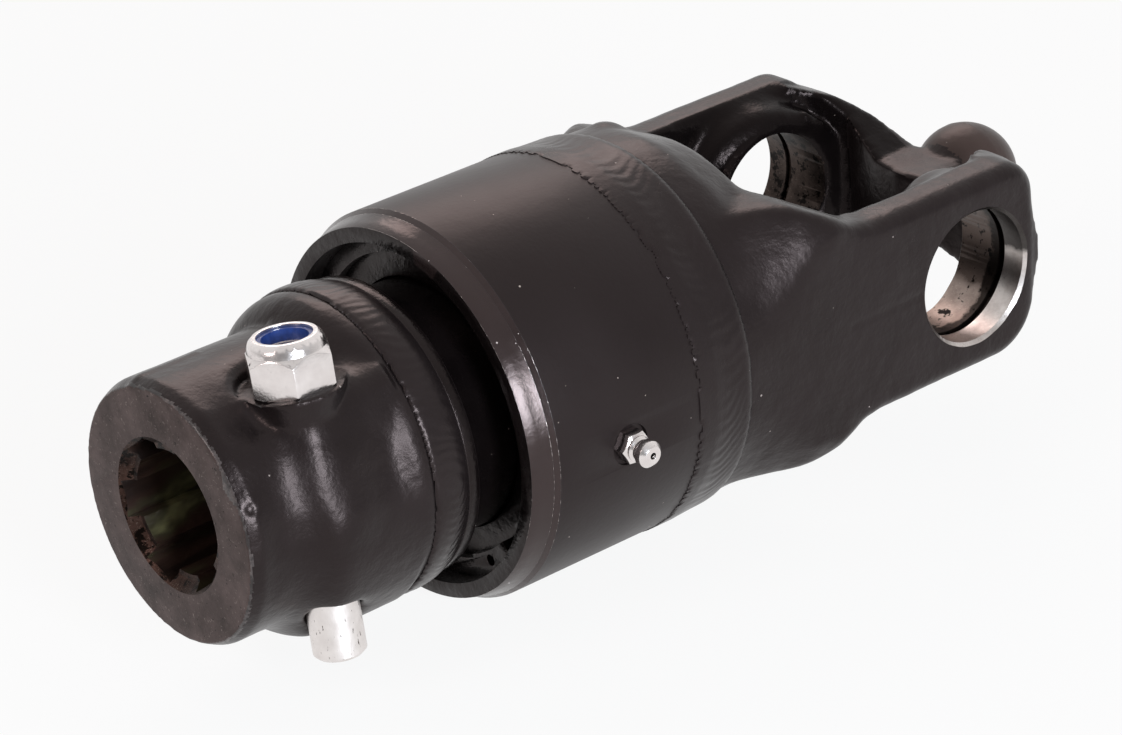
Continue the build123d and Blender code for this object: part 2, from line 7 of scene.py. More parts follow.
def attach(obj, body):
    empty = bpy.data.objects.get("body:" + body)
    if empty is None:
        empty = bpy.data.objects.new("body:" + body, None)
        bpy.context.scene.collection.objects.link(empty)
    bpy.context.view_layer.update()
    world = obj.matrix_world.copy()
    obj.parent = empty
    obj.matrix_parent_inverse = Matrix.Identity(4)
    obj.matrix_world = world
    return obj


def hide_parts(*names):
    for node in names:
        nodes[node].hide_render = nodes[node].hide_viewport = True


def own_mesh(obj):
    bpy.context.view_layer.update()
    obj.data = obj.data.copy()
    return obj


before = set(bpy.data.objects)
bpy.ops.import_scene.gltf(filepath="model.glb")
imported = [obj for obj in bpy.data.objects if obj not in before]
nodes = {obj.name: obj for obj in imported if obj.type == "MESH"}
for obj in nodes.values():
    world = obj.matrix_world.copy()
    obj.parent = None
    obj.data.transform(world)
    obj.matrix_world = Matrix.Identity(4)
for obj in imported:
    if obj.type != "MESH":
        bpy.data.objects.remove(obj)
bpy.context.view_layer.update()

mm = 0.001                # one millimetre in metres
inMm = 1000               # turns metres to millimetres
mergeWithin = 0.01 * mm   # points nearer than this become one
print("frame loaded:", len(nodes), "nodes")


def hexColour(code):
    # sRGB hex to the linear values Blender works in
    parts = [int(code[i:i + 2], 16) / 255 for i in (1, 3, 5)]
    return [c / 12.92 if c <= 0.04045 else ((c + 0.055) / 1.055) ** 2.4 for c in parts] + [1.0]


def perMetre(size):
    # texture scale that repeats about once every so many millimetres
    return inMm / size


def addNode(tree, kind, settings=None, links=None):
    node = tree.nodes.new(kind)
    for key, value in (settings or {}).items():
        if isinstance(key, str) and hasattr(node, key):
            setattr(node, key, value)
        else:
            node.inputs[key].default_value = value
    for key, socket in (links or {}).items():
        tree.links.new(socket, node.inputs[key])
    return node


def setRamp(ramp, stops):
    # stops: (position, grey or colour)
    bar = ramp.color_ramp
    while len(bar.elements) > 1:
        bar.elements.remove(bar.elements[-1])
    for index, (place, value) in enumerate(stops):
        stop = bar.elements[0] if index == 0 else bar.elements.new(place)
        stop.position = place
        stop.color = (value, value, value, 1) if isinstance(value, (int, float)) else value
    return ramp


def deselectAll():
    if bpy.context.object and bpy.context.object.mode != "OBJECT":
        bpy.ops.object.mode_set(mode="OBJECT")
    bpy.ops.object.select_all(action="DESELECT")


def makeActive(piece):
    deselectAll()
    piece.select_set(True)
    bpy.context.view_layer.objects.active = piece


def applyModifier(piece, kind, **settings):
    makeActive(piece)
    bpy.ops.object.modifier_add(type=kind)
    modifier = piece.modifiers[-1]
    for key, value in settings.items():
        setattr(modifier, key, value)
    bpy.ops.object.modifier_apply(modifier=modifier.name)


def bakePlace(piece):
    makeActive(piece)
    bpy.ops.object.transform_apply(location=True, rotation=True, scale=True)


def copyOfNode(name, pieceName):
    # an own piece that starts from the CAD shape, with its loose triangles merged
    deselectAll()
    mesh = nodes[name].data.copy()
    mesh.name = pieceName
    mesh.materials.clear()
    piece = bpy.data.objects.new(pieceName, mesh)
    bpy.context.scene.collection.objects.link(piece)
    makeActive(piece)
    bpy.ops.object.mode_set(mode="EDIT")
    bpy.ops.mesh.select_all(action="SELECT")
    bpy.ops.mesh.remove_doubles(threshold=mergeWithin)
    bpy.ops.mesh.normals_make_consistent(inside=False)
    bpy.ops.object.mode_set(mode="OBJECT")
    return piece


def newCylinder(radius, start, end, sides):
    # bar between two points, in millimetres
    deselectAll()
    start, end = [Vector([c * mm for c in point]) for point in (start, end)]
    way = end - start
    bpy.ops.mesh.primitive_cylinder_add(vertices=sides, radius=radius * mm, depth=way.length,
                                        location=(start + end) / 2)
    bar = bpy.context.object
    bar.rotation_euler = way.to_track_quat("Z", "Y").to_euler()
    bakePlace(bar)
    return bar


def newCone(radii, depth, place, turn, sides):
    # upright taper from the first radius to the second, turned about its middle, in millimetres
    deselectAll()
    bpy.ops.mesh.primitive_cone_add(vertices=sides, radius1=radii[0] * mm, radius2=radii[1] * mm,
                                    depth=depth * mm)
    cone = bpy.context.object
    cone.rotation_euler = turn
    cone.location = [c * mm for c in place]
    bakePlace(cone)
    return cone


def newBlock(size, place):
    # box with the given sides round a place, in millimetres
    deselectAll()
    bpy.ops.mesh.primitive_cube_add(size=1, location=[c * mm for c in place])
    block = bpy.context.object
    block.scale = [c * mm for c in size]
    bakePlace(block)
    return block


def cut(piece, cutter, operation="DIFFERENCE"):
    applyModifier(piece, "BOOLEAN", object=cutter, operation=operation, solver="MANIFOLD")
    bpy.data.objects.remove(cutter, do_unlink=True)


def joinTo(piece, *others):
    # overlapping solids in one mesh; the voxel remesh makes one skin of them
    makeActive(piece)
    for other in others:
        other.select_set(True)
    bpy.ops.object.join()


def smoothShade(piece, degrees):
    # edges sharper than this stay crisp
    makeActive(piece)
    bpy.ops.object.shade_smooth_by_angle(angle=math.radians(degrees))


def giveMaterials(piece, *materials):
    piece.data.materials.clear()
    for material in materials:
        piece.data.materials.append(material)


def paintFaces(piece, finishAt):
    # each face takes the one of the piece's materials that finishAt(centre in mm, face) gives
    materials = list(piece.data.materials)
    for face in piece.data.polygons:
        face.material_index = materials.index(finishAt(face.center * inMm, face))


def shaftAngle(point):
    # degrees about the shaft, from +Y towards +Z
    return math.degrees(math.atan2(point.z, point.y))


def startMaterial(name, settings):
    material = bpy.data.materials.new(name)
    material.use_nodes = True
    tree = material.node_tree
    tree.nodes.clear()
    shader = addNode(tree, "ShaderNodeBsdfPrincipled", settings)
    addNode(tree, "ShaderNodeOutputMaterial", links={"Surface": shader.outputs["BSDF"]})
    place = addNode(tree, "ShaderNodeTexCoord").outputs["Object"]
    return material, tree, shader, place


def blackPaint(name, look):
    # stoving enamel sprayed thick over steel: a soft wide sheen, orange peel, dust caught in it
    material, tree, shader, place = startMaterial(name, {
        "IOR": 1.5, "Specular IOR Level": look["sheen"], "Specular Tint": hexColour("#f6dfdb")})
    tint = addNode(tree, "ShaderNodeTexNoise", {"Scale": perMetre(look["patchMm"]), "Detail": 3},
                   {"Vector": place})
    tone = addNode(tree, "ShaderNodeMix", {"data_type": "RGBA", "A": hexColour(look["deep"]),
                                           "B": hexColour(look["pale"])}, {"Factor": tint.outputs["Fac"]})
    # dust specks, one to a cell, up to speckSize in radius
    cells = addNode(tree, "ShaderNodeTexVoronoi", {"Scale": perMetre(look["speckEvery"])}, {"Vector": place})
    size = addNode(tree, "ShaderNodeSeparateColor", links={"Color": cells.outputs["Color"]})
    reach = addNode(tree, "ShaderNodeMath", {
        "operation": "MULTIPLY", 1: look["speckSize"] / look["speckEvery"]}, {0: size.outputs["Red"]})
    speck = addNode(tree, "ShaderNodeMath", {"operation": "LESS_THAN"},
                    {0: cells.outputs["Distance"], 1: reach.outputs[0]})
    dusty = addNode(tree, "ShaderNodeMix", {"data_type": "RGBA", "B": hexColour(look["dust"])},
                    {"A": tone.outputs["Result"], "Factor": speck.outputs[0]})
    tree.links.new(dusty.outputs["Result"], shader.inputs["Base Color"])
    # sheen that changes from patch to patch
    gloss = addNode(tree, "ShaderNodeMapRange", {"From Min": 0.3, "From Max": 0.7, "To Min": look["smooth"],
                                                 "To Max": look["rough"]}, {"Value": tint.outputs["Fac"]})
    tree.links.new(gloss.outputs["Result"], shader.inputs["Roughness"])
    # height: forged skin, orange peel, and the specks stand proud
    skin = addNode(tree, "ShaderNodeTexNoise", {"Scale": perMetre(look["skinMm"]), "Detail": 4,
                                                "Roughness": 0.6}, {"Vector": place})
    peel = addNode(tree, "ShaderNodeTexNoise", {"Scale": perMetre(look["peelMm"]), "Detail": 2},
                   {"Vector": place})
    skinBump = addNode(tree, "ShaderNodeBump", {"Strength": 1.0, "Distance": look["skinDepth"] * mm},
                       {"Height": skin.outputs["Fac"]})
    peelBump = addNode(tree, "ShaderNodeBump", {"Strength": 1.0, "Distance": look["peelDepth"] * mm},
                       {"Height": peel.outputs["Fac"], "Normal": skinBump.outputs["Normal"]})
    speckBump = addNode(tree, "ShaderNodeBump", {"Strength": 0.6, "Distance": 0.08 * mm},
                        {"Height": speck.outputs[0], "Normal": peelBump.outputs["Normal"]})
    tree.links.new(speckBump.outputs["Normal"], shader.inputs["Normal"])
    return material


forgedPaint = blackPaint("black_paint_on_forged_steel", {
    "deep": "#120e0e", "pale": "#1b1616", "dust": "#8a7f7a", "sheen": 0.24, "smooth": 0.27, "rough": 0.38,
    "patchMm": 14, "speckEvery": 5.0, "speckSize": 0.3,
    "skinMm": 7.0, "skinDepth": 0.35, "peelMm": 1.4, "peelDepth": 0.05})
ballPaint = blackPaint("brown_dusty_paint_on_ball", {
    "deep": "#2c2320", "pale": "#3a2e2a", "dust": "#8a7f7a", "sheen": 0.3, "smooth": 0.34, "rough": 0.44,
    "patchMm": 9, "speckEvery": 5.0, "speckSize": 0.3,
    "skinMm": 7.0, "skinDepth": 0.15, "peelMm": 1.4, "peelDepth": 0.04})
# painted shade: darker paint with little sheen for the inside of the far ear, where the near ear keeps the
# light off
paintedShadeInFork = blackPaint("dark_paint_as_painted_shade_inside_fork", {
    "deep": "#080606", "pale": "#0e0a0a", "dust": "#6d635d", "sheen": 0.12, "smooth": 0.2, "rough": 0.3,
    "patchMm": 12, "speckEvery": 6.0, "speckSize": 0.3,
    "skinMm": 7.0, "skinDepth": 0.35, "peelMm": 1.4, "peelDepth": 0.05})
turnedPaint = blackPaint("black_paint_on_turned_steel", {
    "deep": "#130e0e", "pale": "#1b1616", "dust": "#94887f", "sheen": 0.24, "smooth": 0.36, "rough": 0.44,
    "patchMm": 30, "speckEvery": 5.0, "speckSize": 0.28,
    "skinMm": 22.0, "skinDepth": 0.2, "peelMm": 1.0, "peelDepth": 0.03})
glossPaint = blackPaint("thick_black_paint_on_bevel", {
    "deep": "#1a1413", "pale": "#221a1a", "dust": "#b0a6a2", "sheen": 0.5, "smooth": 0.16, "rough": 0.28,
    "patchMm": 9, "speckEvery": 4.0, "speckSize": 0.3,
    "skinMm": 5.0, "skinDepth": 0.12, "peelMm": 0.9, "peelDepth": 0.02})
darkPaint = blackPaint("black_film_on_turned_steel", {
    "deep": "#070505", "pale": "#0f0b0b", "dust": "#6d635d", "sheen": 0.25, "smooth": 0.14, "rough": 0.34,
    "patchMm": 9, "speckEvery": 5.0, "speckSize": 0.3,
    "skinMm": 3.0, "skinDepth": 0.2, "peelMm": 0.8, "peelDepth": 0.04})
beadPaint = blackPaint("black_paint_on_weld_bead", {
    "deep": "#130f0f", "pale": "#1c1717", "dust": "#8f847e", "sheen": 0.26, "smooth": 0.24, "rough": 0.36,
    "patchMm": 12, "speckEvery": 6.0, "speckSize": 0.3,
    "skinMm": 6.0, "skinDepth": 0.2, "peelMm": 0.9, "peelDepth": 0.03})


def wornEdgePaint(name, look):
    # paint rubbed through along an edge: black film with broken streaks of bright steel and grey primer dust
    material, tree, shader, place = startMaterial(name, {"Roughness": 0.3})
    streak = addNode(tree, "ShaderNodeTexNoise", {"Scale": perMetre(look["streakMm"]), "Detail": 4,
                                                  "Roughness": 0.7}, {"Vector": place})
    patch = addNode(tree, "ShaderNodeTexNoise", {"Scale": perMetre(look["patchMm"]), "Detail": 2},
                    {"Vector": place})
    both = addNode(tree, "ShaderNodeMath", {"operation": "MULTIPLY"},
                   {0: streak.outputs["Fac"], 1: patch.outputs["Fac"]})
    worn = setRamp(addNode(tree, "ShaderNodeValToRGB", links={"Fac": both.outputs[0]}),
                   [(look["wornFrom"], 0.0), (look["wornTo"], 1.0)])
    tone = addNode(tree, "ShaderNodeMix", {"data_type": "RGBA", "A": hexColour("#1c1514"),
                                           "B": hexColour(look["steel"])}, {"Factor": worn.outputs["Color"]})
    tree.links.new(tone.outputs["Result"], shader.inputs["Base Color"])
    tree.links.new(worn.outputs["Color"], shader.inputs["Metallic"])
    bump = addNode(tree, "ShaderNodeBump", {"Strength": 1.0, "Distance": 0.1 * mm},
                   {"Height": streak.outputs["Fac"]})
    tree.links.new(bump.outputs["Normal"], shader.inputs["Normal"])
    return material


wornEdge = wornEdgePaint("paint_worn_through_on_edge", {
    "streakMm": 1.1, "patchMm": 16, "wornFrom": 0.28, "wornTo": 0.31, "steel": "#b9b0ac"})
noseEdge = wornEdgePaint("paint_thin_on_sawn_edge", {
    "streakMm": 1.6, "patchMm": 9, "wornFrom": 0.2, "wornTo": 0.42, "steel": "#6f6664"})
wornSteelLip = wornEdgePaint("paint_flaked_off_mouth_edge", {
    "streakMm": 3.5, "patchMm": 20, "wornFrom": 0.2, "wornTo": 0.23, "steel": "#5c4a43"})


def bareSteel(name, look):
    # steel left bare after machining: brown-grey, dull, with the tool's marks, a film of rust and oil, and
    # where given, dark covers of paint mist and of painted shade
    material, tree, shader, place = startMaterial(name, {"Metallic": 1.0})
    # arcs about the piece's own axis: (along the axis, radius, angle)
    axes = addNode(tree, "ShaderNodeSeparateXYZ", links={"Vector": place})
    along, side = ("X", "Y") if look["axis"] == "X" else ("Y", "X")
    flat = addNode(tree, "ShaderNodeCombineXYZ", links={"X": axes.outputs[side], "Y": axes.outputs["Z"]})
    radius = addNode(tree, "ShaderNodeVectorMath", {"operation": "LENGTH"}, {0: flat.outputs["Vector"]})
    angle = addNode(tree, "ShaderNodeMath", {"operation": "ARCTAN2"},
                    {0: axes.outputs["Z"], 1: axes.outputs[side]})
    turn = addNode(tree, "ShaderNodeMath", {"operation": "MULTIPLY", 1: look["arcStretch"] * mm},
                   {0: angle.outputs[0]})
    lathe = addNode(tree, "ShaderNodeCombineXYZ",
                    links={"X": axes.outputs[along], "Y": radius.outputs["Value"], "Z": turn.outputs[0]})
    marks = addNode(tree, "ShaderNodeTexNoise", {"Scale": perMetre(look["markMm"]), "Detail": 3,
                                                 "Roughness": 0.7}, {"Vector": lathe.outputs["Vector"]})
    stain = addNode(tree, "ShaderNodeTexNoise", {"Scale": perMetre(look["stainMm"]), "Detail": 5,
                                                 "Roughness": 0.65}, {"Vector": place})
    lift = setRamp(addNode(tree, "ShaderNodeValToRGB", links={"Fac": stain.outputs["Fac"]}),
                   [(0.3, 0.0), (0.7, 1.0)])
    tone = addNode(tree, "ShaderNodeMix", {"data_type": "RGBA", "A": hexColour(look["deep"]),
                                           "B": hexColour(look["pale"])}, {"Factor": lift.outputs["Color"]})
    scratch = setRamp(addNode(tree, "ShaderNodeValToRGB", links={"Fac": marks.outputs["Fac"]}),
                      [(0.6, 0.0), (0.72, 1.0)])
    share = addNode(tree, "ShaderNodeMath", {"operation": "MULTIPLY", 1: 0.5}, {0: scratch.outputs["Color"]})
    bright = addNode(tree, "ShaderNodeMix", {"data_type": "RGBA", "B": hexColour(look["scratch"])},
                     {"A": tone.outputs["Result"], "Factor": share.outputs[0]})
    # dark covers that start at a ragged line: by height they are painted shade, darker above the lit bottom;
    # by distance from the middle they are paint mist
    raggedMm, fullCover = 8, 0.9
    distance = addNode(tree, "ShaderNodeMath", {"operation": "ABSOLUTE"}, {0: axes.outputs[along]})
    measures = {"height": axes.outputs["Z"], "distance": distance.outputs[0]}
    for measure, low, high, colour in look.get("filmsAndShade", []):
        ragged = addNode(tree, "ShaderNodeMath", {"operation": "MULTIPLY_ADD", 1: raggedMm * mm},
                         {0: stain.outputs["Fac"], 2: measures[measure]})
        cover = addNode(tree, "ShaderNodeMapRange", {
            "From Min": (low + raggedMm / 2) * mm, "From Max": (high + raggedMm / 2) * mm,
            "To Max": fullCover}, {"Value": ragged.outputs[0]})
        bright = addNode(tree, "ShaderNodeMix", {"data_type": "RGBA", "B": hexColour(colour)},
                         {"A": bright.outputs["Result"], "Factor": cover.outputs["Result"]})
    # black spatter of paint
    drops = addNode(tree, "ShaderNodeTexNoise", {"Scale": perMetre(look["spatterMm"]), "Detail": 4,
                                                 "Roughness": 0.7}, {"Vector": place})
    spatter = setRamp(addNode(tree, "ShaderNodeValToRGB", links={"Fac": drops.outputs["Fac"]}),
                      [(look["spatterFrom"], 0.0), (look["spatterFrom"] + 0.04, 1.0)])
    final = addNode(tree, "ShaderNodeMix", {"data_type": "RGBA", "B": hexColour("#120e0c")},
                    {"A": bright.outputs["Result"], "Factor": spatter.outputs["Color"]})
    tree.links.new(final.outputs["Result"], shader.inputs["Base Color"])
    gloss = addNode(tree, "ShaderNodeMapRange", {"To Min": look["smooth"], "To Max": look["rough"]},
                    {"Value": marks.outputs["Fac"]})
    tree.links.new(gloss.outputs["Result"], shader.inputs["Roughness"])
    bump = addNode(tree, "ShaderNodeBump", {"Strength": 1.0, "Distance": look["markDepth"] * mm},
                   {"Height": marks.outputs["Fac"]})
    tree.links.new(bump.outputs["Normal"], shader.inputs["Normal"])
    return material


# dark covers (paint mist by distance, painted shade by height): what they go by, where they begin and where
# they cover fully, in mm, and their colour
faceSteel = bareSteel("sawn_and_faced_steel", {
    "axis": "X", "arcStretch": 30, "markMm": 0.9, "markDepth": 0.05, "stainMm": 8,
    "deep": "#3c3331", "pale": "#5d504e", "scratch": "#9a8f8a", "smooth": 0.42, "rough": 0.62,
    "spatterMm": 1.4, "spatterFrom": 0.64})
# near bore: painted shade darkens all but its lowest strip, and black paint mist lies towards its outer end
boreSteel = bareSteel("reamed_steel_bore", {
    "axis": "Y", "arcStretch": 40, "markMm": 0.8, "markDepth": 0.04, "stainMm": 6,
    "deep": "#7d6e67", "pale": "#b1a299", "scratch": "#c9beb6", "smooth": 0.30, "rough": 0.5,
    "spatterMm": 3.0, "spatterFrom": 0.58,
    "filmsAndShade": [("height", -12, -9.5, "#4a3e39"), ("distance", 33.4, 34.4, "#120d0b")]})
# far bore: a darker copy of the bore steel, for paint mist and for painted shade
mistAndShadeSteel = bareSteel("steel_bore_with_mist_and_painted_shade", {
    "axis": "Y", "arcStretch": 40, "markMm": 0.8, "markDepth": 0.04, "stainMm": 7,
    "deep": "#1f1917", "pale": "#4d423d", "scratch": "#7d716a", "smooth": 0.34, "rough": 0.55,
    "spatterMm": 3.0, "spatterFrom": 0.54})
# bright bevel round the bore mouth, its upper half darkened as painted shade
mouthSteel = bareSteel("bright_bevelled_steel", {
    "axis": "Y", "arcStretch": 80, "markMm": 0.5, "markDepth": 0.02, "stainMm": 7,
    "deep": "#a89d98", "pale": "#ddd6d2", "scratch": "#f0ece9", "smooth": 0.22, "rough": 0.36,
    "spatterMm": 2.0, "spatterFrom": 0.68,
    "filmsAndShade": [("height", 0, 2, "#120e0d")]})
landSteel = bareSteel("bevelled_bore_mouth_steel", {
    "axis": "X", "arcStretch": 60, "markMm": 0.6, "markDepth": 0.05, "stainMm": 6,
    "deep": "#1e1411", "pale": "#4a3832", "scratch": "#a5968c", "smooth": 0.25, "rough": 0.45,
    "spatterMm": 2.6, "spatterFrom": 0.52})


def greasySteel(name, look):
    # broached bore under old grease: brown-black steel wet with oil, greenish smears lying along the bore
    material, tree, shader, place = startMaterial(name, {
        "Roughness": 0.3, "Coat Weight": 1.0, "Coat Roughness": 0.08})
    drawn = addNode(tree, "ShaderNodeMapping", {"Scale": look["stretch"]}, {"Vector": place})
    smear = addNode(tree, "ShaderNodeTexNoise", {"Scale": perMetre(look["smearMm"]), "Detail": 3,
                                                 "Distortion": 0.5}, {"Vector": drawn.outputs["Vector"]})
    tone = setRamp(addNode(tree, "ShaderNodeValToRGB", links={"Fac": smear.outputs["Fac"]}),
                   [(stop, hexColour(code)) for stop, code in look["smears"]])
    tree.links.new(tone.outputs["Color"], shader.inputs["Base Color"])
    ridge = addNode(tree, "ShaderNodeTexNoise", {"Scale": perMetre(look["ridgeMm"]), "Detail": 3,
                                                 "Distortion": 0.6}, {"Vector": drawn.outputs["Vector"]})
    bump = addNode(tree, "ShaderNodeBump", {"Strength": 1.0, "Distance": look["ridgeDepth"] * mm},
                   {"Height": ridge.outputs["Fac"]})
    tree.links.new(bump.outputs["Normal"], shader.inputs["Normal"])
    tree.links.new(bump.outputs["Normal"], shader.inputs["Coat Normal"])
    return material


greasedBore = greasySteel("greased_broached_steel", {
    "stretch": (0.35, 1, 1), "smearMm": 9, "ridgeMm": 4, "ridgeDepth": 0.45,
    "smears": [(0.40, "#160e0b"), (0.52, "#2b1d18"), (0.61, "#322e20"), (0.70, "#5d5a3e")]})


def zincPlate(name, look):
    # bright zinc over cold-headed steel: pale silver, a little cloudy, dark in the tool marks
    material, tree, shader, place = startMaterial(name, {"Metallic": 1.0})
    cloud = addNode(tree, "ShaderNodeTexNoise", {"Scale": perMetre(2.5), "Detail": 4}, {"Vector": place})
    tone = addNode(tree, "ShaderNodeMix", {"data_type": "RGBA", "A": hexColour(look["deep"]),
                                           "B": hexColour(look["pale"])}, {"Factor": cloud.outputs["Fac"]})
    # short dark pits and dirt along the drawing direction
    stretch = addNode(tree, "ShaderNodeMapping", {"Scale": look["pitStretch"]}, {"Vector": place})
    grain = addNode(tree, "ShaderNodeTexNoise", {"Scale": perMetre(look["pitMm"]), "Detail": 3},
                    {"Vector": stretch.outputs["Vector"]})
    pits = setRamp(addNode(tree, "ShaderNodeValToRGB", links={"Fac": grain.outputs["Fac"]}),
                   [(look["pitFrom"], 0.0), (look["pitFrom"] + 0.06, 1.0)])
    final = addNode(tree, "ShaderNodeMix", {"data_type": "RGBA", "B": hexColour("#4a413c")},
                    {"A": tone.outputs["Result"], "Factor": pits.outputs["Color"]})
    tree.links.new(final.outputs["Result"], shader.inputs["Base Color"])
    gloss = addNode(tree, "ShaderNodeMapRange", {"To Min": look["smooth"], "To Max": look["rough"]},
                    {"Value": cloud.outputs["Fac"]})
    tree.links.new(gloss.outputs["Result"], shader.inputs["Roughness"])
    bump = addNode(tree, "ShaderNodeBump", {"Strength": 0.6, "Distance": 0.06 * mm},
                   {"Height": grain.outputs["Fac"]})
    tree.links.new(bump.outputs["Normal"], shader.inputs["Normal"])
    return material


nutZinc = zincPlate("zinc_plate_on_nut", {
    "deep": "#d6cecc", "pale": "#ede7e5", "smooth": 0.16, "rough": 0.28,
    "pitStretch": (1, 1, 1), "pitMm": 0.6, "pitFrom": 0.72})
pinZinc = zincPlate("zinc_plate_on_drawn_pin", {
    "deep": "#d3ccc9", "pale": "#f3edea", "smooth": 0.28, "rough": 0.42,
    "pitStretch": (1, 1, 0.3), "pitMm": 0.5, "pitFrom": 0.66})


def cloudedMaterial(name, look):
    # two tones in soft clouds under one even sheen
    material, tree, shader, place = startMaterial(name, look["shader"])
    cloud = addNode(tree, "ShaderNodeTexNoise", {"Scale": perMetre(look["cloudMm"]),
                                                 "Detail": look["detail"]}, {"Vector": place})
    tone = addNode(tree, "ShaderNodeMix", {"data_type": "RGBA", "A": hexColour(look["deep"]),
                                           "B": hexColour(look["pale"])}, {"Factor": cloud.outputs["Fac"]})
    tree.links.new(tone.outputs["Result"], shader.inputs["Base Color"])
    return material


# moulded nylon ring: deep blue, soft sheen, scuffed where the thread cuts in
blueNylon = cloudedMaterial("blue_nylon", {
    "deep": "#14285e", "pale": "#2f4f9c", "cloudMm": 1.2, "detail": 3,
    "shader": {"Roughness": 0.35, "IOR": 1.53}})
# turned bronze, warm and dull with oil
bearingBronze = cloudedMaterial("oiled_bronze", {
    "deep": "#7a5a34", "pale": "#a8824f", "cloudMm": 4, "detail": 4,
    "shader": {"Metallic": 1.0, "Roughness": 0.38}})
# ground and oiled steel of the pawls and springs
groundSteel = cloudedMaterial("oiled_ground_steel", {
    "deep": "#5a5552", "pale": "#8b8682", "cloudMm": 3, "detail": 4,
    "shader": {"Metallic": 1.0, "Roughness": 0.3}})
# moulded rubber seal, dull black with a faint bloom
sealRubber = cloudedMaterial("seal_rubber", {
    "deep": "#121111", "pale": "#2a2828", "cloudMm": 2, "detail": 4,
    "shader": {"Roughness": 0.7}})
print("materials made")


def band(value, ends, fades):
    # 1 between the two ends, falling to 0 at each end over its fade, and below 0 beyond
    return min(1.0, (value - ends[0]) / fades[0], (ends[1] - value) / fades[1])


def fadeIn(value, start, fade):
    return min(1.0, max(0.0, (value - start) / fade))


def hump(offset, width):
    # bell shape, 1 in the middle
    return math.exp(-(offset / width) ** 2)


def forgedSkin(point, look):
    # how far a forging's skin lies from the true shape, by the height and width of its waves and grain
    waveHeight, waveWidth = look["wave"]
    skinHeight, skinWidth = look["skin"]
    waves = waveHeight * noise.noise(point / waveWidth)
    return waves + skinHeight * noise.noise(point / skinWidth + Vector((9, 3, 5)))


def remeshSoft(piece, look):
    # one skin of small even faces over all that was joined, then its corners smoothed
    applyModifier(piece, "REMESH", mode="VOXEL", voxel_size=look["voxel"] * mm)
    applyModifier(piece, "SMOOTH", factor=0.5, iterations=look["soften"])


def softenWhere(piece, weightAt, passes):
    # smooths only where weightAt(point in mm) is above nought, as a die's generous rounds do
    group = piece.vertex_groups.new(name="soften")
    for vertex in piece.data.vertices:
        weight = weightAt(vertex.co * inMm)
        if weight > 0:
            group.add([vertex.index], min(1.0, weight), "REPLACE")
    applyModifier(piece, "SMOOTH", factor=0.5, iterations=passes, vertex_group="soften")
    piece.vertex_groups.clear()


def pushOut(piece, height):
    # moves each point along its normal by height(point), both in millimetres
    mesh = piece.data
    moved = []
    for vertex in mesh.vertices:
        moved.extend(vertex.co + vertex.normal * height(vertex.co * inMm) * mm)
    mesh.vertices.foreach_set("co", moved)
    mesh.update()


yokeLook = {
    "voxel": 0.85, "soften": 7, "roundPasses": 110,
    # height and width of the waves and of the grain, which fade in where the turned spigot ends
    "wave": (0.25, 14.0), "skin": (0.08, 4.0), "skinFrom": -74, "skinFade": 6,
    # flare of the ears: its ends along the shaft, the fades inside them, its share near the rims
    "flare": (-73, -34), "flareFades": (4, 6), "flareZ": 25, "rimShare": 0.3,
    # hollow round each inner boss, by distance from the bore's axis
    "boss": (18.5, 34), "bossFades": (2, 3), "bossToY": 35.5, "bossFadeY": 1.5, "bossToX": 12,
    # bores: plugs that fill them at first, snap ring grooves, bevelled mouths
    "boreRadius": 16.5, "boreSides": 160, "cutReach": 60, "plugRadius": 18.2, "plugSides": 96,
    "plugFrom": 25.5, "plugInset": 0.05, "groove": (36.5, 38.4), "grooveRadius": 17.4, "earOuter": 45.2,
    "mouthRadius": 17.35, "mouthFlare": 0.85, "mouthDepth": 0.85,
    # how near a face lies, and how it faces, to count as bore or as bevel
    "boreSlack": 0.2, "endSlack": 0.1, "bevelSlack": 0.3, "facesAxis": 0.8, "bevelFacing": (0.2, 0.92),
    # centring ball, with the seam where the halves of the die met
    "ballX": 42.0, "ballReach": 13.9, "ballFrom": 33.0, "ballPaintFrom": 34.0, "ballSkin": 0.1,
    "partingX": 43.2, "seamHeight": 0.16, "seamWidth": 0.35,
    # line that the die left along the outside of each ear
    "lineHeight": -0.22, "lineZ": 1.6, "lineWidth": 0.7, "lineX": (-42, -14), "lineFromY": 41,
    # inside of the far ear, painted darker and duller as painted shade, behind a ragged edge
    "shadeX": (-48, 30), "shadeFromY": 6, "shadeNormal": -0.12, "shadeRagged": 0.1, "shadeMm": 4,
}


